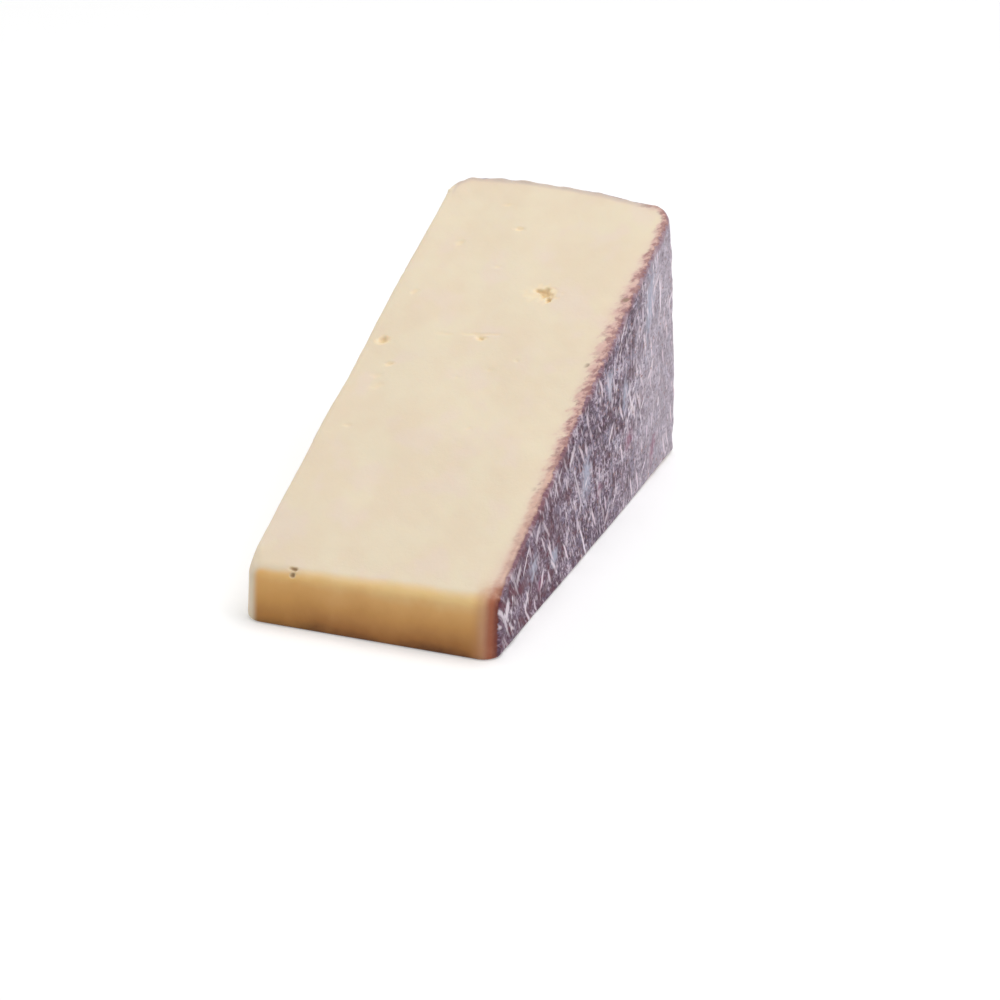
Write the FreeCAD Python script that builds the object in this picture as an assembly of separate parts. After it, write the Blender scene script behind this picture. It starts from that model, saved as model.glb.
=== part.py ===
"""A wedge of firm, wine-washed cheese, lying on one of its two long cuts.

The wheel was halved across its thickness, and two cuts that meet short of its middle took this
wedge out of one half. The thin tip was then trimmed off. What is left is one solid with six sides:

    right (+X)   the wheel's flat side, which carries rind
    rim   (+Y)   the wheel's rim, also rind, a little barrel-shaped
    left  (-X)   the cut that halved the wheel, bare paste, not quite level with the flat side
    top, bottom  the two long cuts, bare paste, WEDGE_ANGLE apart
    tip   (-Y)   the small face where the tip was trimmed off, bare paste

Millimetres, Z up. The origin is the middle of the bounding box's underside.
"""
import FreeCAD, Part

import math
import os
from FreeCAD import Vector

# The wheel, and the cuts that took the wedge out of it.
WHEEL_RADIUS = 280.0   # wheel's axis to the widest part of its rim
THICKNESS = 50.0       # half of the whole wheel's thickness, at the tip
NARROWING = 1.45       # how much thinner the halving cut left it at the rim
WEDGE_ANGLE = 24.7     # degrees between the two long cuts
WEDGE_REACH = 139.0    # line where the two cuts would meet, to the middle of the rim
TIP_TRIM = 25.2        # the same line to the middle of the foot of the trimmed tip
TIP_LEAN = 0.3         # how far the head of the trimmed tip leans towards the rim
TIP_SKEW = 2.9         # degrees the tip was trimmed askew, its right side nearer the rim
RIM_CURVE = 170.0      # radius of the rim's barrel shape, across the thickness
RIM_PEAK = -2.5        # where across the wedge the rim is widest

# The wheel's own corners, and the soft edges that the knife and handling leave.
RIND_CORNER = 4.5      # rim to the flat side
HALVED_CORNER = 5.6    # rim to the halving cut
TIP_BROW = 3.6         # tip to the top cut
TOP_EDGE = 1.0         # round the rest of the top cut and down the tip's two sides
FOOT_EDGE = 0.7        # round the bottom cut

# Eyes, the small gas holes open in the top cut, each as
# (distance from the line where the cuts meet, distance from the flat side, half width, depth).
EYES = (
    (108.8, 17.7, 1.5, 1.1),
    (89.3, 45.3, 0.9, 0.8),
    (94.3, 26.4, 0.7, 0.6),
    (125.9, 29.4, 0.6, 0.4),
    (83.4, 42.0, 0.7, 0.4),
)

half = THICKNESS / 2
slope = math.radians(WEDGE_ANGLE)
skew = math.tan(math.radians(TIP_SKEW))
tip_height = (TIP_TRIM + TIP_LEAN) * math.tan(slope)
rim_middle = Vector(RIM_PEAK, WHEEL_RADIUS - RIM_CURVE, 0)   # of the circle of its barrel shape


def rim_corner(foot, head, inward, radius):
    """Three points of the arc that joins a side of the section, foot to head, to the rim's arc.

    The corner's circle touches the side from within, and the rim's circle too: its middle is
    one radius inward of the side, and RIM_CURVE - radius from the middle of the rim's circle.
    """
    along = (head - foot).normalize()
    offset = foot + inward * radius - rim_middle
    run = -offset.dot(along) + math.sqrt(
        offset.dot(along) ** 2 - offset.dot(offset) + (RIM_CURVE - radius) ** 2)
    centre = rim_middle + offset + along * run
    outward = (centre - rim_middle).normalize()
    return [centre + way.normalize() * radius for way in (-inward, outward - inward, outward)]


def half_wheel():
    """The outer part of the half wheel, laid so that the wedge's middle line rises by half its angle.

    Its section has X across the thickness and Y out from the wheel's axis. It is swept about that
    axis by more than the wedge's width, then moved back until the cuts meet on the X axis.
    """
    inside = WHEEL_RADIUS - WEDGE_REACH
    share = NARROWING / (WEDGE_REACH - TIP_TRIM)
    foot_left = Vector(-half - share * TIP_TRIM, inside, 0)
    head_left = Vector(-half + NARROWING, WHEEL_RADIUS, 0)
    foot_right, head_right = Vector(half, inside, 0), Vector(half, WHEEL_RADIUS, 0)
    left = rim_corner(foot_left, head_left, Vector(1, -share, 0).normalize(), HALVED_CORNER)
    right = rim_corner(foot_right, head_right, Vector(-1, 0, 0), RIND_CORNER)
    outline = (
        Part.LineSegment(foot_left, left[0]),
        Part.Arc(*left),
        Part.Arc(left[2], rim_middle + Vector(0, RIM_CURVE, 0), right[2]),
        Part.Arc(right[2], right[1], right[0]),
        Part.LineSegment(right[0], foot_right),
        Part.LineSegment(foot_right, foot_left),
    )
    section = Part.Face(Part.Wire([curve.toShape() for curve in outline]))
    axis, across = Vector(), Vector(1, 0, 0)
    section.rotate(axis, across, -WEDGE_ANGLE / 2)
    wheel = section.revolve(axis, across, WEDGE_ANGLE)
    wheel.translate(Vector(0, WEDGE_REACH - WHEEL_RADIUS, 0))
    wheel.rotate(axis, across, WEDGE_ANGLE / 2)
    return wheel


def prism(corners, askew):
    """A prism with these (y, z) corners, across the whole wedge, its sides askew by this slope."""
    side = Part.makePolygon([Vector(0, y, z) for y, z in corners + corners[:1]])
    across = Vector(1, askew, 0) * THICKNESS
    solid = Part.Face(side).extrude(across * 2)
    solid.translate(-across)
    return solid


def between_the_cuts():
    """What the two long cuts leave: over the bottom and under the top."""
    far = 1.5 * WEDGE_REACH
    return prism([(0, 0), (far, 0), (far, far * math.tan(slope))], 0)


def behind_the_tip():
    """What trimming the tip leaves, from under the bottom cut to over the top of the rim."""
    far, over = 2 * WEDGE_REACH, WEDGE_REACH / tip_height
    return prism([
        (TIP_TRIM - TIP_LEAN, -tip_height), (far, -tip_height),
        (far, over * tip_height), (TIP_TRIM + over * TIP_LEAN, over * tip_height)], skew)


NEARLY = math.radians(1.5)   # a side's middle looks this close to its way, and a blend's doesn't


def side_of(face):
    """Which side a face belongs to, from the way it looks at its middle; the rest is blends."""
    u0, u1, v0, v1 = face.ParameterRange
    look = face.normalAt((u0 + u1) / 2, (v0 + v1) / 2)
    sides = {
        "left": Vector(-1, 0, 0),
        "bottom": Vector(0, 0, -1),
        "top": Vector(0, -math.sin(slope), math.cos(slope)),
        "tip": Vector(skew, -1, TIP_LEAN / tip_height).normalize(),
    }
    return next((name for name, way in sides.items() if look.getAngle(way) < NEARLY), "blend")


def edge_between(shape, one, other):
    """The edge where two sides meet. A fillet on it runs on along every edge in line with it."""
    return [edge for edge in shape.Edges
            if {side_of(face) for face in shape.ancestorsOfType(edge, Part.Face)} == {one, other}]


def soften(shape):
    """Rounds the tip's brow, then all round the top cut, then all round the bottom cut."""
    for radius, one, other in (
        (TIP_BROW, "tip", "top"),
        (TOP_EDGE, "top", "left"),
        (FOOT_EDGE, "bottom", "left"),
    ):
        shape = shape.makeFillet(radius, edge_between(shape, one, other))
    return shape


def open_eyes(shape):
    """Cuts each eye into the top cut, as the cap of a ball whose middle stands over the face."""
    along = Vector(0, math.cos(slope), math.sin(slope))
    outward = Vector(0, -math.sin(slope), math.cos(slope))
    for reach, from_rind, half_width, depth in EYES:
        ball = (half_width ** 2 + depth ** 2) / (2 * depth)
        middle = Vector(half - from_rind, 0, 0) + along * reach + outward * (ball - depth)
        shape = shape.cut(Part.makeSphere(ball, middle))
    return shape


def settle(shape):
    """Moves the wedge so that the origin is the middle of its bounding box's underside."""
    box = shape.optimalBoundingBox(False, False)
    shape.translate(Vector(-(box.XMin + box.XMax) / 2, -(box.YMin + box.YMax) / 2, -box.ZMin))
    return shape


cut_out = half_wheel().common(between_the_cuts()).common(behind_the_tip()).Solids[0]
wedge = settle(open_eyes(soften(cut_out)).Solids[0])
os.makedirs("parts", exist_ok=True)
wedge.exportStep("parts/cheese_wedge.step")
print("solid valid:", wedge.isValid(), "volume in cm3:", round(wedge.Volume / 1000, 1))
print("box in mm:", wedge.optimalBoundingBox(False, False))
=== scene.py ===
import math

import bpy
import numpy as np
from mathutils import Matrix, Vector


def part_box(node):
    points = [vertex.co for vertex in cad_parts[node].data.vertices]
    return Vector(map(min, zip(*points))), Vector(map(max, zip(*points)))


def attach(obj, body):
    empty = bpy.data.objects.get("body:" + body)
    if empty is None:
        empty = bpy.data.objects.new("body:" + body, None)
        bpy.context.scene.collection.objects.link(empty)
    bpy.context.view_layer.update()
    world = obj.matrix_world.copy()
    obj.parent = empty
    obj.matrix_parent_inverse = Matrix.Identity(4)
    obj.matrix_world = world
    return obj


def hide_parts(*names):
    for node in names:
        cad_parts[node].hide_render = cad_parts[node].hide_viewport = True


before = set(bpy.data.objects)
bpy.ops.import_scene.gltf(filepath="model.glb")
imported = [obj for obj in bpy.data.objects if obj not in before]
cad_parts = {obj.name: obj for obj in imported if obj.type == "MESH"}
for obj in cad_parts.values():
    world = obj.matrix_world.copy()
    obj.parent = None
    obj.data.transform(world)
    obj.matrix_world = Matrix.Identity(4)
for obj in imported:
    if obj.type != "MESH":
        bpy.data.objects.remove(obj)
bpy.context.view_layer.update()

# ---- The wedge as it was cut -----------------------------------------------------------------
# Half of a wheel of firm cheese, halved across its thickness. Two straight cuts took this wedge
# out of it, a third trimmed off the thin tip, and the wedge lies on one of the two long cuts.
# Lengths are in millimetres. X runs across the wedge, Y away from the line where the long cuts
# would meet, and Z up. The wheel's flat side, with rind, is at the right (+X).

MM = 0.001
low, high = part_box("cheese_wedge")
WIDE = (high.x - low.x) / MM
WHEEL_RADIUS = 280.0      # wheel's axis to the widest part of its rim
WEDGE_REACH = 139.0       # line where the cuts meet, to the middle of the rim
WEDGE_ANGLE = math.radians(24.7)
TIP_TRIM = 25.2           # the same line to the middle of the foot of the trimmed tip
TIP_LEAN = 0.3            # how far the head of the tip leans towards the rim
TIP_SKEW = math.tan(math.radians(2.9))   # the tip's cut falls back as it runs to the right
RIM_CURVE = 170.0         # radius of the rim's barrel shape, across the wheel's thickness
RIM_PEAK = -2.5           # where across the wedge the rim is widest
RIND_CORNER = 4.5         # rim to the flat side
HALVED_CORNER = 5.6       # rim to the halving cut
NARROWING = 1.45          # how much thinner the halving cut left it at the rim than at the tip
TIP_BROW = 3.6            # tip to the top cut
CUT_EDGE = 1.0            # round the top cut, at the left
RIND_EDGE = 0.8           # the same, at the right, where the knife went through the rind
TIP_UPRIGHT = 3.4         # down the tip's two sides
FOOT_EDGE = 0.7           # round the bottom cut
RIM_FOOT = 1.5            # the same, at the rim

half_wide = WIDE / 2
half_angle = WEDGE_ANGLE / 2
axis_back = WHEEL_RADIUS - WEDGE_REACH
axis_y, axis_z = -axis_back * math.cos(half_angle), -axis_back * math.sin(half_angle)
tip_head = (TIP_TRIM + TIP_LEAN) * math.tan(WEDGE_ANGLE)
tip_slant = TIP_LEAN / tip_head
rim_middle = WHEEL_RADIUS - RIM_CURVE
tip_out = axis_back + TIP_TRIM


def smooth(value, start, end):
    """0 before start, 1 after end, and 3t^2 - 2t^3 of the way t between them."""
    t = np.clip((value - start) / (end - start), 0, 1)
    return t * t * (3 - 2 * t)


def meet(one, other, radius, lean=0.0):
    """Depth under two sides whose shared edge is rounded.

    Near the edge it is the radius less the distance to the line that lies one radius under
    both sides, elsewhere the smaller of the two depths. lean is the cosine of the angle
    between the two sides' outward directions.
    """
    a, b = radius - one, radius - other
    near = (a > lean * b) & (b > lean * a)
    square = (a * a + b * b - 2 * lean * a * b) / (1 - lean * lean)
    return np.where(near, radius - np.sqrt(np.maximum(square, 0)), np.minimum(one, other))


def from_axis(y, z):
    """Distance from the wheel's axis, which lies beyond the line where the long cuts meet."""
    return np.hypot(y - axis_y, z - axis_z)


def under_rim(x, out):
    """Depth under the rim: the radius of its barrel shape less the distance to its middle."""
    return RIM_CURVE - np.hypot(x - RIM_PEAK, out - rim_middle)


def under_top(y, z):
    """Depth under the top cut, a plane that rises from the line where the cuts meet."""
    return y * math.sin(WEDGE_ANGLE) - z * math.cos(WEDGE_ANGLE)


def behind_tip(x, y, z):
    """Depth behind the trimmed tip, a plane that leans and turns a little towards the rim."""
    return (y - TIP_TRIM - tip_slant * z - TIP_SKEW * x) / math.hypot(1, tip_slant, TIP_SKEW)


def depth_inside(x, y, z):
    """Depth under the whole wedge's surface: its six sides met in pairs, each edge rounded.

    The top cut's rounding eases from CUT_EDGE at the left to RIND_EDGE at the right, and that
    down the tip's two sides is TIP_UPRIGHT. The foot's eases from FOOT_EDGE to RIM_FOOT.
    """
    out = from_axis(y, z)
    wheel = meet(under_rim(x, out), half_wide - x, RIND_CORNER)
    left = half_wide + x - NARROWING * (out - tip_out) / (WHEEL_RADIUS - tip_out)
    wheel = meet(wheel, left, HALVED_CORNER)
    lean = (math.sin(WEDGE_ANGLE) + tip_slant * math.cos(WEDGE_ANGLE)) \
        / math.hypot(1, tip_slant, TIP_SKEW)
    cuts = meet(behind_tip(x, y, z), under_top(y, z), TIP_BROW, lean)
    edge = CUT_EDGE + (RIND_EDGE - CUT_EDGE) * smooth(x, -5, 15)
    edge += (TIP_UPRIGHT - edge) * smooth(behind_tip(x, y, z), 6, 1)
    foot = FOOT_EDGE + (RIM_FOOT - FOOT_EDGE) * smooth(y, 104, 128)
    return meet(meet(wheel, cuts, edge), z, foot, -tip_slant * (y < 2 * TIP_TRIM))


def slope_inward(points, reach=0.02):
    """The depth's gradient, from its differences over a short reach each way along X, Y and Z."""
    steps = np.eye(3) * reach
    return np.stack([(depth_inside(*(points + step).T) - depth_inside(*(points - step).T))
                     / (2 * reach) for step in steps], 1)


def graded(start, end, count, spots):
    """count + 1 values from start to end, closer together round each (middle, spread, extra).

    The density of lines is 1 plus a bell of height extra for each spot. Equal shares of its
    running total give the values.
    """
    fine = np.linspace(start, end, 4001)
    density = 1 + sum(extra * np.exp(-((fine - middle) / spread) ** 2)
                      for middle, spread, extra in spots)
    total = np.concatenate(([0], np.cumsum((density[1:] + density[:-1]) / 2)))
    return np.interp(np.linspace(0, total[-1], count + 1), total, fine)


# Lines across, along and up. The skin is the outside of this lattice, pressed onto the wedge.
ACROSS, ALONG, UP = 98, 376, 72
lines_x = graded(-half_wide, half_wide, ACROSS,
                 [(half_wide, 2.5, 2.0), (-half_wide, 2.5, 1.5), (7.3, 2.6, 1.6), (-20.4, 1.3, 0.8),
                  (-15.3, 0.9, 2.0)])
lines_r = graded(TIP_TRIM, WEDGE_REACH, ALONG,
                 [(TIP_TRIM, 3.0, 1.5), (WEDGE_REACH, 5.0, 1.0), (108.8, 2.2, 1.2)])
lines_t = graded(0, 1, UP, [(0, 0.02, 3.0), (1, 0.03, 2.5)])
lines_r = (lines_r - TIP_TRIM) / (WEDGE_REACH - TIP_TRIM)


def side_rings(axis, at_end, step):
    """Corner numbers of one side's faces, turned outward, and which of them are used.

    Each face covers step lines both ways. A face of two lines has eight points round it, but
    keeps its middle ones only along the side's border, where finer faces may join it.
    """
    counts = (ACROSS, ALONG, UP)
    one, two = (axis + 1) % 3, (axis + 2) % 3
    u, v = np.meshgrid(np.arange(0, counts[one], step), np.arange(0, counts[two], step),
                       indexing="ij")
    u, v = u.reshape(-1, 1), v.reshape(-1, 1)
    du = np.array([0, 1, 2, 2, 2, 1, 0, 0]) if step == 2 else np.array([0, 1, 1, 0])
    dv = np.array([0, 0, 0, 1, 2, 2, 2, 1]) if step == 2 else np.array([0, 0, 1, 1])
    if not at_end:
        du, dv = du[::-1], dv[::-1]
    place = [None] * 3
    place[axis] = np.full((len(u), len(du)), counts[axis] if at_end else 0)
    place[one], place[two] = u + du, v + dv
    corner = (du % step == 0) & (dv % step == 0)
    border = (place[one] % counts[one] == 0) | (place[two] % counts[two] == 0)
    number = (place[0] * (ALONG + 1) + place[1]) * (UP + 1) + place[2]
    return number, corner | (border & (step == 2))


sides = [side_rings(0, True, 1), side_rings(0, False, 2), side_rings(1, True, 1),
         side_rings(1, False, 1), side_rings(2, True, 1), side_rings(2, False, 2)]
corners = np.concatenate([number[used] for number, used in sides])
face_sizes = np.concatenate([used.sum(1) for number, used in sides])
numbers, corners = np.unique(corners, return_inverse=True)
across, along_up = np.divmod(numbers, (ALONG + 1) * (UP + 1))
along, up = np.divmod(along_up, UP + 1)

turn = lines_t[up] * WEDGE_ANGLE
from_middle = turn - half_angle
x = lines_x[across]
rim_radius = rim_middle + np.sqrt(RIM_CURVE ** 2 - (x - RIM_PEAK) ** 2)
start = (TIP_TRIM + TIP_SKEW * x) / (np.cos(turn) - np.sin(turn) * tip_slant)
end = np.sqrt(rim_radius ** 2 - (axis_back * np.sin(from_middle)) ** 2) \
    - axis_back * np.cos(from_middle)
reach = start + (end - start) * lines_r[along]
skin = np.stack([x, reach * np.cos(turn), reach * np.sin(turn)], 1)
for press in range(8):
    inward = slope_inward(skin)
    skin -= inward * (depth_inside(*skin.T) / (inward ** 2).sum(1))[:, None]
outward = -slope_inward(skin)
outward /= np.linalg.norm(outward, axis=1)[:, None]

# ---- The cut faces' relief ---------------------------------------------------------------------
# The paste is firm and close. A knife leaves it almost flat, with a faint swell, small gas holes
# that the cut opened, one larger than the rest, and a short crack.

SWELL = 0.12              # height of the gentle unevenness
# Each eye: across, reach, half length, half width, turn in degrees, depth. The depth also sets how
# strong the eye's painted shade is.
TOP_EYES = (
    (6.9, 109.2, 1.7, 1.35, -30, 0.85),
    (8.1, 107.7, 1.0, 0.55, -60, 1.0),
    # A wide shallow hollow round the large eye, whose weak painted shade gives only the pale painted
    # highlight.
    (6.3, 108.7, 3.0, 2.3, 10, 0.2),
    (-20.7, 89.4, 1.1, 0.85, 20, 0.62),
    (-1.4, 94.2, 0.8, 0.6, 10, 0.6),
    (-1.9, 95.1, 3.6, 0.4, 12, 0.2),
    (-4.4, 126.0, 0.65, 0.5, 0, 0.42),
    (-16.9, 83.5, 0.8, 0.5, 30, 0.35),
    (-9.4, 132.6, 0.7, 0.5, 10, 0.2),
    (-15.3, 119.6, 1.0, 0.6, 60, 0.18),
    (-19.4, 103.6, 0.9, 0.6, 20, 0.2),
    (-5.2, 114.5, 0.6, 0.5, 0, 0.15),
    (7.6, 89.7, 0.6, 0.4, 0, 0.15),
    (3.4, 86.3, 0.5, 0.4, 0, 0.15),
    (-2.5, 82.9, 0.5, 0.4, 40, 0.15),
    (-19.2, 65.7, 0.7, 0.5, 0, 0.2),
    (4.6, 70.1, 0.6, 0.4, 20, 0.15),
    (-9.0, 93.6, 1.8, 0.5, 8, 0.12),
    (-18.5, 80.0, 1.0, 0.8, 0, 0.15),
    (-17.5, 77.2, 1.4, 1.0, 30, 0.14),
    # The two small pits on the tip's brow, whose painted shade is darkened further on the tip.
    (-15.4, 28.55, 0.6, 0.42, 0, 0.4),
    (-15.3, 27.4, 0.5, 0.38, 0, 0.38),
)


def ripple(points, length, seed, waves=24):
    """Smooth random height with a spread of 1: a sum of plane waves of about that length."""
    rng = np.random.default_rng(seed)
    ways = rng.normal(size=(waves, 3))
    ways *= (rng.uniform(0.7, 1.4, waves) * 2 * math.pi / length
             / np.linalg.norm(ways, axis=1))[:, None]
    return np.cos(points @ ways.T + rng.uniform(0, 2 * math.pi, waves)).sum(1) / math.sqrt(waves / 2)


def hollows(u, v, eyes, ragged):
    """Depth and painted shade of eyes in a flat side, at places (u, v) on it.

    Each is an ellipse whose outline wavers with ragged. Its depth falls off smoothly from a third of
    the way out to just beyond the outline, and its painted shade, which also gives a painted highlight
    at its rim, to twice as far out.
    """
    depth, shade = np.zeros_like(u), np.zeros_like(u)
    for eye_u, eye_v, length, width, degrees, deep in eyes:
        c, s = math.cos(math.radians(degrees)), math.sin(math.radians(degrees))
        du, dv = u - eye_u, v - eye_v
        out = np.hypot((du * c + dv * s) / length, (dv * c - du * s) / width) + 0.16 * ragged
        fall = 1 - smooth(out, 0.35, 1.3)
        depth = np.maximum(depth, deep * fall)
        shade = np.maximum(shade, (1 - smooth(out, 0.1, 2.1)) * min(1, deep / 0.8))
    return depth, shade


ragged = ripple(skin, 1.6, seed=3)
reach = np.hypot(skin[:, 1], skin[:, 2])
facing_top = smooth(-outward[:, 1] * math.sin(WEDGE_ANGLE) + outward[:, 2] * math.cos(WEDGE_ANGLE),
                    0.2, 0.5)
# eye is the mask of the eyes' painted shade and painted rim highlight.
deep, eye = hollows(skin[:, 0], reach, TOP_EYES, ragged)
rng = np.random.default_rng(11)
LEFT_EYES = 26
left_eyes = np.stack([
    rng.uniform(34, 132, LEFT_EYES), rng.uniform(3, 50, LEFT_EYES),
    rng.uniform(0.5, 1.3, LEFT_EYES), rng.uniform(0.4, 0.8, LEFT_EYES),
    rng.uniform(-40, 40, LEFT_EYES), rng.uniform(0.12, 0.6, LEFT_EYES)], 1)
facing_left = smooth(-outward[:, 0], 0.5, 0.8)
left_deep, left_eye_painted_shade = hollows(skin[:, 1], skin[:, 2], left_eyes, ragged)
deep = deep * facing_top + left_deep * facing_left
eye = eye * facing_top + left_eye_painted_shade * facing_left

# ---- The rind's relief --------------------------------------------------------------------------
# The skin that formed while the wheel ripened, washed with wine and turned on cloth. Its threads
# left thin raised strands, nearly upright at the rim and slanting more towards the wheel's middle.

STRANDS = 340
STRAND_HEIGHT = 0.13
tall = skin[:, 2]


def slant(girth):
    """Angle of the strands from upright: 34 degrees by the tip, easing to 15 at the rim."""
    return np.radians(15 + 19 * (1 - smooth(girth, 45, 118)))


# Distance under the rind in the wheel's own section, for the stain that soaked in from it.
out = from_axis(skin[:, 1], skin[:, 2])
under_left = half_wide + skin[:, 0] - NARROWING * (out - tip_out) / (WHEEL_RADIUS - tip_out)
corner_x = NARROWING + HALVED_CORNER - half_wide
corner_out = rim_middle + math.sqrt((RIM_CURVE - HALVED_CORNER) ** 2 - (corner_x - RIM_PEAK) ** 2)
rind_end = np.hypot(skin[:, 0] - corner_x + HALVED_CORNER, out - corner_out)
round_left = HALVED_CORNER - np.hypot(skin[:, 0] - corner_x, out - corner_out)
left_of_rim = np.where(out < corner_out, rind_end, np.where(skin[:, 0] < corner_x, round_left, 99))
under_rind = meet(under_rim(skin[:, 0], out), half_wide - skin[:, 0], RIND_CORNER)
under_rind = np.minimum(under_rind, left_of_rim)
under_rind = np.maximum(under_rind, 0)

# Along the flat side, then across the rim, then by the arc round the halved wheel's corner.
girth = skin[:, 1] + half_wide - skin[:, 0]
past_rim = np.arctan2(corner_x - skin[:, 0], out - corner_out)
at_corner = skin[:, 1] + corner_out + HALVED_CORNER - out + half_wide - corner_x
girth = np.where((skin[:, 0] < corner_x) & (out > corner_out),
                 at_corner + HALVED_CORNER * past_rim, girth)

rng = np.random.default_rng(5)
strand = np.zeros(len(skin))
near = np.flatnonzero(under_rind < 1.5)
g, t = girth[near], tall[near]
for start_g, start_t, length, width, strong, stray, bend in zip(
        rng.uniform(24, 200, STRANDS), rng.uniform(0, 58, STRANDS),
        rng.uniform(1.5, 7.0, STRANDS), rng.uniform(0.3, 0.6, STRANDS),
        rng.uniform(0.25, 1.0, STRANDS), rng.normal(0, 11, STRANDS), rng.normal(0, 0.006, STRANDS)):
    lean = slant(start_g) + math.radians(stray)
    if strong > 0.86:
        lean -= math.radians(62)
    down = (g - start_g) * math.sin(lean) - (t - start_t) * math.cos(lean)
    side = (g - start_g) * math.cos(lean) + (t - start_t) * math.sin(lean) - bend * down ** 2
    line = strong * np.exp(-(side / width) ** 2) * (1 - smooth(np.abs(down) / length, 0.5, 1))
    strand[near] = np.maximum(strand[near], line)
strand *= 0.75 + 0.25 * np.clip(ripple(skin, 2.2, seed=8), -1, 1)

# Patches on the flat side, each: along, up, half length, half height. Pale bloom grew thick on
# some, and the wine dried dark on others.
BLOOM = ((76.0, 17.5, 2.4, 4.6), (46.7, 10.9, 2.0, 2.6), (112.0, 41.0, 2.2, 8.0),
         (58.0, 8.0, 2.0, 1.6), (88.0, 33.0, 1.6, 3.0), (99.0, 27.0, 1.6, 3.4))
WINE = ((102.5, 15.4, 2.2, 2.0), (118.4, 7.2, 1.6, 3.0), (51.0, 5.5, 1.6, 1.4),
        (84.0, 12.0, 1.2, 1.4))


def patched(patches, ragged):
    """1 in the middle of each patch and 0 past its outline, an ellipse that wavers with ragged."""
    outs = [np.hypot((girth - along) / length, (tall - up) / tallness)
            for along, up, length, tallness in patches]
    return 1 - smooth(np.min(outs, 0) + 0.22 * ragged, 0.3, 1.5)


bloom, wine = patched(BLOOM, ragged), patched(WINE, ragged)

# Streamlines of that slant: each point's number is where its line crosses mid height.
fine_g = np.linspace(0, 230, 2301)
run = np.concatenate(([0], np.cumsum(0.1 / np.tan(slant(fine_g[1:])))))
stream = np.interp(np.interp(girth, fine_g, run) + tall - 20, run, fine_g)

on_rind = 1 - smooth(under_rind, 0.1, 0.6)
relief = SWELL * ripple(skin, 26, seed=1) + 0.02 * ripple(skin, 5, seed=2)
relief += on_rind * (STRAND_HEIGHT * strand + 0.05 * ripple(skin, 6, seed=6)
                     + 0.025 * ripple(skin, 1.7, seed=7))
lip = np.exp(-((under_rind - 0.45) / 0.35) ** 2) * facing_top
relief += 0.10 * lip * (0.4 + ripple(skin * (0.3, 1, 1), 1.3, seed=9))
relief = relief * smooth(skin[:, 2], 0.05, 1.2) - deep
skin += outward * relief[:, None]
skin[:, 2] = np.maximum(skin[:, 2], 0)

# ---- The wedge's mesh ---------------------------------------------------------------------------
# One closed skin, for one piece of food. It is set where the solid wedge is: its underside at
# the same height, and the middle of its length and width at the same place.

mesh = bpy.data.meshes.new("cheese")
mesh.vertices.add(len(skin))
mesh.loops.add(len(corners))
mesh.polygons.add(len(face_sizes))
middle = (skin.min(0) + skin.max(0)) / 2
shift = np.array([(low.x + high.x) / 2, (low.y + high.y) / 2, low.z]) / MM - (*middle[:2], 0)
mesh.vertices.foreach_set("co", ((skin + shift) * MM).astype(np.float32).ravel())
mesh.loops.foreach_set("vertex_index", corners.astype(np.int32).ravel())
mesh.polygons.foreach_set("loop_start", (np.cumsum(face_sizes) - face_sizes).astype(np.int32))
mesh.update(calc_edges=True)
mesh.validate()
mesh.shade_smooth()
for name, value in (("under_rind", under_rind), ("strand", strand), ("eye", eye),
                    ("behind_tip", behind_tip(*skin.T)),
                    ("under_top", under_top(skin[:, 1], skin[:, 2])),
                    ("under_left", under_left),
                    ("girth", girth), ("stream", stream),
                    ("bloom", bloom), ("wine", wine)):
    kept = mesh.attributes.new(name, "FLOAT", "POINT")
    kept.data.foreach_set("value", value.astype(np.float32))
wedge = bpy.data.objects.new("cheese", mesh)
bpy.context.scene.collection.objects.link(wedge)
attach(wedge, "root")
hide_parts("cheese_wedge")

# ---- The paste and the rind's colour --------------------------------------------------------------
# Paste is ivory, softly clouded, and has dried tan on the trimmed tip. Wine and ripening stained
# it pink and red-brown just under the rind. The rind is dull purple, streaked pale lavender.
# Painted shade darkens the tip's tan towards its foot and the eyes' hollows, and painted light
# brightens the tip's left part and the eyes' rims.


class Wire:
    """An output socket of the node tree in hand. Arithmetic on it adds Math nodes."""

    tree = None

    def __init__(self, socket):
        self.socket = socket

    @classmethod
    def node(cls, kind, settings=None, values=None, out=0):
        """A new node's output: settings are set first, then each socket's number or wire."""
        made = cls.tree.nodes.new("ShaderNode" + kind)
        for name, value in (settings or {}).items():
            if name == "stops":
                for index, (where, colour) in enumerate(value):
                    stops = made.color_ramp.elements
                    stop = stops[index] if index < len(stops) else stops.new(where)
                    stop.position, stop.color = where, colour
            else:
                setattr(made, name, value)
        for name, value in (values or {}).items():
            if isinstance(value, cls):
                cls.tree.links.new(value.socket, made.inputs[name])
            else:
                made.inputs[name].default_value = value
        return cls(made.outputs[out])

    def sum(self, operation, one, other):
        return Wire.node("Math", {"operation": operation}, {0: one, 1: other})

    def __add__(self, other):
        return self.sum("ADD", self, other)

    def __radd__(self, other):
        return self.sum("ADD", other, self)

    def __sub__(self, other):
        return self.sum("SUBTRACT", self, other)

    def __rsub__(self, other):
        return self.sum("SUBTRACT", other, self)

    def __mul__(self, other):
        return self.sum("MULTIPLY", self, other)

    def __rmul__(self, other):
        return self.sum("MULTIPLY", other, self)


def paint(red, green, blue):
    """A colour of 0 to 255 as the linear light that a shader takes."""
    light = [(c / 255 / 12.92) if c < 10 else ((c / 255 + 0.055) / 1.055) ** 2.4
             for c in (red, green, blue)]
    return (*light, 1.0)


def rise(value, start, end):
    """0 before start, 1 after end, smoothly between. With start above end it falls instead."""
    return Wire.node("MapRange", {"interpolation_type": "SMOOTHSTEP"},
                     {"Value": value, "From Min": start, "From Max": end})


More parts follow.
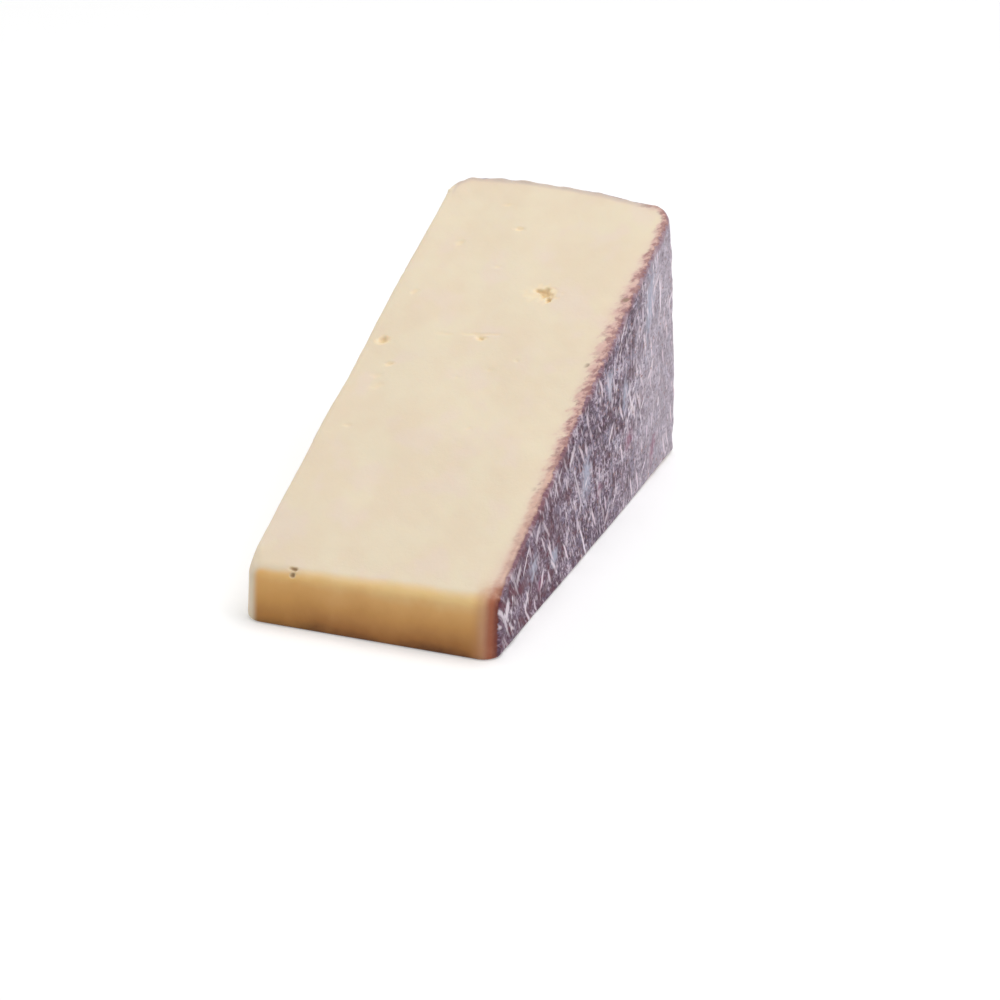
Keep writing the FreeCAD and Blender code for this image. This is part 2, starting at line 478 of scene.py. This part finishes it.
def mix(share, one, other):
    """The first colour, changed towards the other by share."""
    return Wire.node("Mix", {"data_type": "RGBA"}, {0: share, 6: one, 7: other}, out=2)


def stretch(place, x, y, z):
    """The place in lengths of x, y and z millimetres."""
    return Wire.node("VectorMath", {"operation": "MULTIPLY"}, {0: place, 1: (1 / x, 1 / y, 1 / z)})


def noise(place, detail=2.0, rough=0.5, bent=0.0):
    """Cloudy noise about 0.5, one cloud to each unit of place."""
    return Wire.node("TexNoise", {"noise_dimensions": "3D"},
                     {"Vector": place, "Scale": 1.0, "Detail": detail, "Roughness": rough,
                      "Distortion": bent})


def strokes(place, wide, long, share):
    """Scattered strokes of uneven strength, one in each wide by long cell of a plane.

    Each fills that share of its cell both ways, round a random point in it.
    """
    cells = {"Vector": stretch(place, wide, long, 1), "Scale": 1.0}
    near = Wire.node("TexVoronoi", {"voronoi_dimensions": "2D"}, cells)
    chance = Wire.node("TexVoronoi", {"voronoi_dimensions": "2D"}, cells, out=1)
    strength = rise(Wire.node("SeparateColor", values={0: chance}), 0.1, 0.9)
    return rise(near, share, share * 0.45) * strength


def read(name):
    """One of the numbers kept at the mesh's points."""
    return Wire.node("Attribute", {"attribute_name": name}, out=2)


finish = bpy.data.materials.new("wine_washed_cheese")
finish.use_nodes = True
Wire.tree = finish.node_tree
shader = finish.node_tree.nodes["Principled BSDF"]

spot = Wire.node("VectorMath", {"operation": "SCALE"},
                 {0: Wire.node("TexCoord", out=3), "Scale": 1 / MM})
under, line, eye_painted_shade, tip = read("under_rind"), read("strand"), read("eye"), read("behind_tip")
under_left, under_cut = read("under_left"), read("under_top")
bloom, wine = read("bloom"), read("wine")
around, streamed = read("girth"), read("stream")
height = Wire.node("SeparateXYZ", values={0: spot}, out=2)

# Paste
clouds = noise(stretch(spot, 9, 14, 9), 3)
grain = noise(stretch(spot, 0.8, 0.8, 0.8), 2)
blush = rise(noise(stretch(spot, 7, 9, 7), 2), 0.5, 0.68)
paste = mix(rise(clouds, 0.35, 0.65), paint(236, 218, 191), paint(238, 223, 196))
paste = mix(blush * 0.5, paste, paint(238, 218, 202))
# The tip's dried skin reaches less far over the brow towards the left, and stops at the left cut.
higher = rise(under_left, 16, 2) * rise(tip, 0.1, 1.0)
dried = rise(tip + (clouds - 0.5) * 1.0 + higher, 2.1, 0.2) * rise(under_left, 1.4, 3.2)
# Painted shade: the dried tan darkens with height towards the tip's foot, down to dark brown, standing
# in for the shade low on the tip.
tan_with_painted_foot_shade = Wire.node("ValToRGB", {"stops": (
    (0.0, paint(112, 66, 26)), (0.16, paint(178, 119, 60)), (0.5, paint(222, 164, 94)),
    (0.72, paint(240, 186, 115)), (0.95, paint(255, 216, 151)))},
    {0: (height + (clouds - 0.5) * 5) * (1 / 12)})
# Painted light: towards the left cut the tip is mixed brighter and more orange, standing in for light
# from the left.
tan_with_painted_shade_and_light = mix(rise(under_left, 22, 6) * 0.15, tan_with_painted_foot_shade, paint(255, 196, 100))
paste = mix(dried, paste, tan_with_painted_shade_and_light)
# Painted light and shade in the eyes: a pale peach highlight round each rim, tan inside, and a darker
# tan in the deepest part, where shade falls in the hollow.
paste = mix(rise(eye_painted_shade, 0.03, 0.3) * 0.65, paste, paint(250, 228, 190))
paste = mix(rise(eye_painted_shade, 0.4, 0.8) * 0.7, paste, paint(232, 202, 152))
paste = mix(rise(eye_painted_shade, 0.8, 0.97) * 0.4, paste, paint(206, 172, 120))
# Painted shade: the small pits on the tip's brow are darkened to brown, where shade falls in them.
paste = mix(rise(tip, 5.0, 4.0) * rise(eye_painted_shade, 0.1, 0.45) * 0.8, paste, paint(160, 126, 84))

# Stain under the rind
on_tip = rise(tip, 2.4, 0.8)
drag = Wire.node("VectorRotate", {"rotation_type": "Z_AXIS"},
                 {"Vector": spot, "Angle": math.radians(-40)})
spikes = noise(stretch(drag, 3.4, 1.9, 3.0), 3, 0.65) - 0.5
blots = noise(stretch(drag, 2.0, 1.3, 1.8), 4, 0.62)
flat_side = rise(around, 136, 126)
torn = flat_side * rise(around, 30, 75) * (1 - on_tip)
# The stain is thinner towards the rim and towards the tip, and stops short of the left cut.
near_rind = under * (1.0 + rise(around, 100, 124) * 0.7 + rise(around, 85, 45) * 0.3) \
    + rise(under_left, 1.8, 0.2) * 4.5
rosy = mix(rise(blots, 0.4, 0.6), paint(218, 178, 168), paint(202, 156, 150))
rosy = mix(rise(around, 75, 45) * 0.6, rosy, paint(208, 160, 140))
rosy = mix(flat_side, paint(192, 176, 172), rosy)
soaked = near_rind + (clouds - 0.5) * 3.0 + spikes * torn * 3.0
paste = mix(rise(soaked, 5.4, 1.2) * (0.25 + flat_side * 0.35), paste, paint(230, 204, 188))
paste = mix(rise(near_rind + spikes * (0.8 + torn * 5.0), 3.4, 1.3) * (0.6 + torn * 0.25), paste, rosy)
blotted = rise(blots + rise(near_rind, 3.6, 0.6) * 0.14, 0.56, 0.74) * rise(near_rind, 3.6, 2.0)
paste = mix(blotted * (torn + flat_side * 0.3) * 0.55, paste, paint(150, 104, 104))
olive = strokes(drag, 6.0, 4.0, 0.16) * rise(near_rind, 4.0, 2.8) * torn
paste = mix(olive * 0.75, paste, paint(146, 120, 98))
paste = mix(rise(near_rind + spikes * (0.6 + torn * 2.5), 1.1, 0.3) * 0.6, paste,
            mix(flat_side, paint(146, 132, 138), paint(146, 100, 104)))
near_tip = rise(tip + spikes * 4.0, 5.2, 0.6)
for outer, inner, share, brown in ((5.4, 2.4, 0.6, (206, 146, 104)), (2.9, 1.2, 0.9, (164, 88, 58)),
                                   (1.3, 0.4, 1.0, (116, 50, 36))):
    paste = mix(near_tip * rise(under + spikes * 0.5, outer, inner) * share, paste, paint(*brown))

# Rind
laid_flat = Wire.node("CombineXYZ", values={0: around, 1: height})
waver = noise(stretch(laid_flat, 9, 9, 1), 2) - 0.5
fibre = Wire.node("CombineXYZ", values={0: streamed + waver * 0.6, 1: height})


def turned(degrees):
    """The rind's own place, turned on it by that many degrees."""
    return Wire.node("VectorRotate", {"rotation_type": "Z_AXIS"},
                     {"Vector": fibre, "Angle": math.radians(degrees)})


patches = noise(stretch(laid_flat, 8, 10, 1), 3)
mottle = noise(stretch(fibre, 3.0, 4.0, 1), 3, 0.65)
grit = noise(stretch(turned(12), 0.95, 1.0, 1), 2, 0.7)
crumbs = noise(stretch(turned(-20), 1.0, 0.7, 1), 1)
threads = noise(stretch(turned(6), 0.75, 3.0, 1), 1)
at_back = rise(around + (patches - 0.5) * 30, 92, 122)
at_front = rise(around + (patches - 0.5) * 40, 76, 44)
rind = Wire.node("ValToRGB", {"stops": (
    (0.38, paint(48, 28, 46)), (0.46, paint(90, 66, 86)), (0.54, paint(138, 118, 138)),
    (0.63, paint(214, 200, 214)))},
    {0: mottle * 0.46 + grit * 0.54 + (patches - 0.5) * 0.25 + at_back * 0.02 - at_front * 0.035})
rind = mix(rise(mottle, 0.5, 0.38) * (0.4 + at_front * 0.5), rind, paint(98, 40, 58))
rind = mix(rise(noise(stretch(laid_flat, 3.0, 4.0, 1), 3), 0.5, 0.62) * 0.4, rind, paint(150, 146, 170))
rind = mix(at_back * 0.55, rind, paint(206, 196, 208))
rind = mix(rise(crumbs, 0.46, 0.34) * (0.85 - at_back * 0.5), rind, paint(56, 34, 50))
rind = mix(at_front * 0.3, rind, paint(102, 48, 66))
rind = mix(bloom * 0.8, rind, paint(182, 184, 204))
rind = mix(wine * 0.7, rind, paint(138, 58, 94))
rind = mix(rise(threads, 0.57, 0.7) * (0.7 - at_front * 0.3), rind, paint(226, 210, 222))
short = strokes(turned(9), 2.8, 12, 0.2)
stray = strokes(turned(-10), 3.6, 20, 0.17)
bold = strokes(fibre, 4.8, 46, 0.13)
cross = strokes(turned(48), 5.0, 30, 0.13)
rind = mix(short * 0.8, rind, paint(232, 216, 228))
rind = mix(stray * 0.9, rind, paint(238, 222, 232))
rind = mix(cross * 0.9, rind, paint(238, 224, 234))
rind = mix(bold * 0.95, rind, paint(246, 234, 244))
rind = mix(rise(line, 0.35, 0.8) * 0.85, rind, paint(244, 232, 242))
below_cut = under_cut + spikes * 3.0
rind = mix(rise(below_cut, 1.6, 0.3) * flat_side * 0.55, rind, paint(150, 106, 114))
edge_waver = (noise(stretch(spot, 1.4, 1.0, 1.0), 3, 0.6) - 0.5) * (0.6 + torn * 1.6)
skinned = rise(under + edge_waver, 0.5, 0.2) * rise(under_left + edge_waver * 2.0, 0.5, 1.0)
colour = mix(skinned, paste, rind)

bumpy = skinned * ((short + stray) * 0.06 + bold * 0.1 + cross * 0.08
                   + (grit + crumbs) * 0.12 + mottle * 0.3) \
    + (1 - skinned) * (grain * 0.05 + noise(stretch(spot, 0.25, 0.25, 0.25), 1) * 0.03)
bump = Wire.node("Bump", values={"Strength": 0.6, "Distance": MM, "Height": bumpy})
rough = 0.5 + skinned * 0.1 + (clouds - 0.5) * 0.12 - skinned * line * 0.15
for socket, wire in (("Base Color", colour), ("Roughness", rough), ("Normal", bump)):
    Wire.tree.links.new(wire.socket, shader.inputs[socket])
shader.inputs["Specular IOR Level"].default_value = 0.35
shader.inputs["Subsurface Weight"].default_value = 0.15
shader.inputs["Subsurface Radius"].default_value = (1.0, 0.6, 0.3)
shader.inputs["Subsurface Scale"].default_value = 0.003
mesh.materials.append(finish)

# ---- The floor -------------------------------------------------------------------------------------
# A wide, plain, pale disc of paper under the wedge. It keeps the wedge's soft shadow.

FLOOR_RADIUS = 1.2        # metres


def seen_directly():
    """1 for a ray from the camera, also by way of gloss or glass, and 0 for one that only lights."""
    return sum(Wire.node("LightPath", out=kind) for kind in (0, 3, 6))


ring = np.linspace(0, 2 * math.pi, 96, endpoint=False)
edge = np.stack([FLOOR_RADIUS * np.cos(ring), FLOOR_RADIUS * np.sin(ring),
                 np.full(96, low.z)], 1)
paper = bpy.data.meshes.new("floor")
paper.from_pydata(edge.tolist(), [], [list(range(96))])
floor = bpy.data.objects.new("floor", paper)
bpy.context.scene.collection.objects.link(floor)
pale = bpy.data.materials.new("pale_paper")
pale.use_nodes = True
Wire.tree = pale.node_tree
shader = pale.node_tree.nodes["Principled BSDF"]
seen = seen_directly()
shader.inputs["Base Color"].default_value = (0.78, 0.78, 0.78, 1)
shader.inputs["Roughness"].default_value = 0.9
shader.inputs["Specular IOR Level"].default_value = 0.1
shader.inputs["Emission Strength"].default_value = 1.0
glow = Wire.node("CombineColor", values={0: seen * 0.3, 1: seen * 0.3, 2: seen * 0.3})
Wire.tree.links.new(glow.socket, shader.inputs["Emission Color"])
paper.materials.append(pale)

# ---- The light -------------------------------------------------------------------------------------
# A large soft light over the wedge, a little behind it and to the right, a weaker one low down
# at each side, and a pale room.


def soft_light(name, place, size, watts):
    """A square lamp of that size, in metres, turned towards the wedge."""
    lamp = bpy.data.lights.new(name, "AREA")
    lamp.size, lamp.energy = size, watts
    holder = bpy.data.objects.new(name, lamp)
    bpy.context.scene.collection.objects.link(holder)
    holder.location = place
    away = holder.location.normalized()
    holder.rotation_euler = away.to_track_quat("Z", "Y").to_euler()


soft_light("overhead", (0.25, 0.15, 1.4), 1.0, 13.0)
soft_light("left", (-1.0, -0.2, 0.35), 0.6, 1.9)
soft_light("right", (1.1, 0.0, 0.35), 0.6, 2.6)

room = bpy.data.worlds.new("room")
room.use_nodes = True
bpy.context.scene.world = room
Wire.tree = room.node_tree
backdrop = room.node_tree.nodes["Background"]
strength = 0.32 + seen_directly() * 0.68
backdrop.inputs["Color"].default_value = (1, 1, 1, 1)
Wire.tree.links.new(strength.socket, backdrop.inputs["Strength"])
bpy.context.scene.view_settings.view_transform = "Standard"

# ---- The camera ------------------------------------------------------------------------------------
# It looks down on the wedge from the tip's end, a little round to the rind.

AZIMUTH, ELEVATION, ROLL = math.radians(19.99), math.radians(24.16), math.radians(1.78)
DISTANCE = 0.6427
lens = bpy.data.cameras.new("camera")
lens.sensor_width, lens.lens = 36.0, 111.92
lens.clip_start = 0.01
camera = bpy.data.objects.new("camera", lens)
bpy.context.scene.collection.objects.link(camera)
back = np.array([math.sin(AZIMUTH) * math.cos(ELEVATION),
                 -math.cos(AZIMUTH) * math.cos(ELEVATION), math.sin(ELEVATION)])
level = np.array([math.cos(AZIMUTH), math.sin(AZIMUTH), 0])
upright = np.cross(back, level)
level, upright = (math.cos(ROLL) * level + math.sin(ROLL) * upright,
                  math.cos(ROLL) * upright - math.sin(ROLL) * level)
aim = np.array([(low.x + high.x) / 2 - 0.00035, (low.y + high.y) / 2 + 0.01383, low.z])
camera.matrix_world = np.vstack([
    np.column_stack([level, upright, back, aim + DISTANCE * back]), (0, 0, 0, 1)]).T.tolist()
bpy.context.scene.camera = camera
